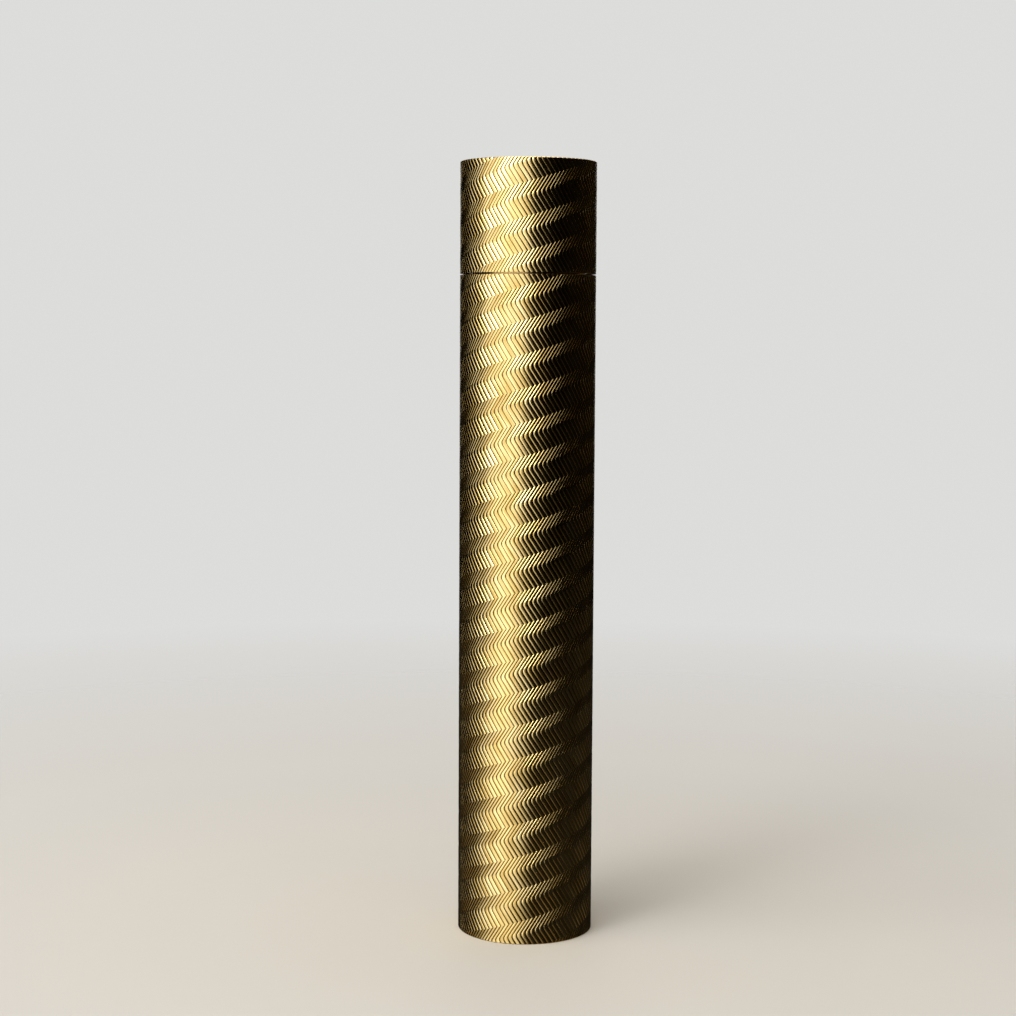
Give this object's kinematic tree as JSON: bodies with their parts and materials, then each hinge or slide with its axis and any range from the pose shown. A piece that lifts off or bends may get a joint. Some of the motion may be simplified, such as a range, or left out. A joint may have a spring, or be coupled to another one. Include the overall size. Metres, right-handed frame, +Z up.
{
  "type": "lipstick case",
  "caption": "Slim round twist-up lipstick case in gold metal with zigzag ribs, closed and standing on the end of its pull-off cover, with the swivel base on top.",
  "frame": {"origin": "centre of the flat closed end that the cover stands on", "axes": "+Z up along the case's axis, from the cover's closed end to the base's flat end; +X through one of the follower's two lugs and the low side of the lipstick's slanted tip"},
  "size_m": [0.015, 0.015, 0.0853],
  "materials": {
    "gold_shell": "gold-plated brass, engine-turned zigzag ribs, polished",
    "gold_plate": "gold-plated brass, fine turned grain",
    "gold_ring": "gold-plated brass, polished",
    "sleeve_gold": "anodised aluminium, gold, polished",
    "steel_weight": "plain turned steel",
    "spring_steel": "bright drawn wire",
    "liner_plastic": "moulded, black",
    "insert_plastic": "moulded, black",
    "cam_plastic": "moulded, natural white",
    "carrier_plastic": "moulded, black",
    "washer_plastic": "punched acetal sheet, white",
    "follower_plastic": "moulded acetal, white",
    "rivet_brass": "plain",
    "brake_rubber": "silicone, dark",
    "cup_aluminium": "anodised, pale gold, satin",
    "lipstick": "waxy red lipstick, satin"
  },
  "bodies": {
    "case": {"case_shell": "gold_shell", "case_end_plate": "gold_plate", "case_weight": "steel_weight", "case_liner": "liner_plastic", "case_mouth_ring": "gold_ring"},
    "click": {"click_ring": "spring_steel"},
    "sleeve": {"sleeve": "sleeve_gold", "spiral_cam": "cam_plastic"},
    "head": {"head_shell": "gold_shell", "head_end_plate": "gold_plate", "head_weight": "steel_weight", "head_insert": "insert_plastic", "head_mouth_ring": "gold_ring", "slip_washer": "washer_plastic", "slotted_carrier": "carrier_plastic", "carrier_rivet": "rivet_brass", "brake_ring_upper": "brake_rubber", "brake_ring_lower": "brake_rubber"},
    "cup": {"cup_follower": "follower_plastic", "bullet_cup": "cup_aluminium", "lipstick_bullet": "lipstick"}
  },
  "joints": [
    {"name": "turn", "type": "hinge", "parent": "case", "child": "click", "pos_m": [0, 0, 0.069], "axis": [0, 0, 1], "continuous": true},
    {"name": "draw", "type": "slide", "parent": "click", "child": "sleeve", "axis": [0, 0, 1], "range_m": [0, 0.07]},
    {"name": "twist", "type": "hinge", "parent": "sleeve", "child": "head", "pos_m": [0, 0, 0.0745], "axis": [0, 0, 1], "range_deg": [0, 360]},
    {"name": "lift", "type": "slide", "parent": "head", "child": "cup", "axis": [0, 0, -1], "range_m": [0, 0.024]}
  ],
  "couplings": [
    {"joint": "lift", "follows": "twist", "m_per_rad": 0.0038197}
  ]
}
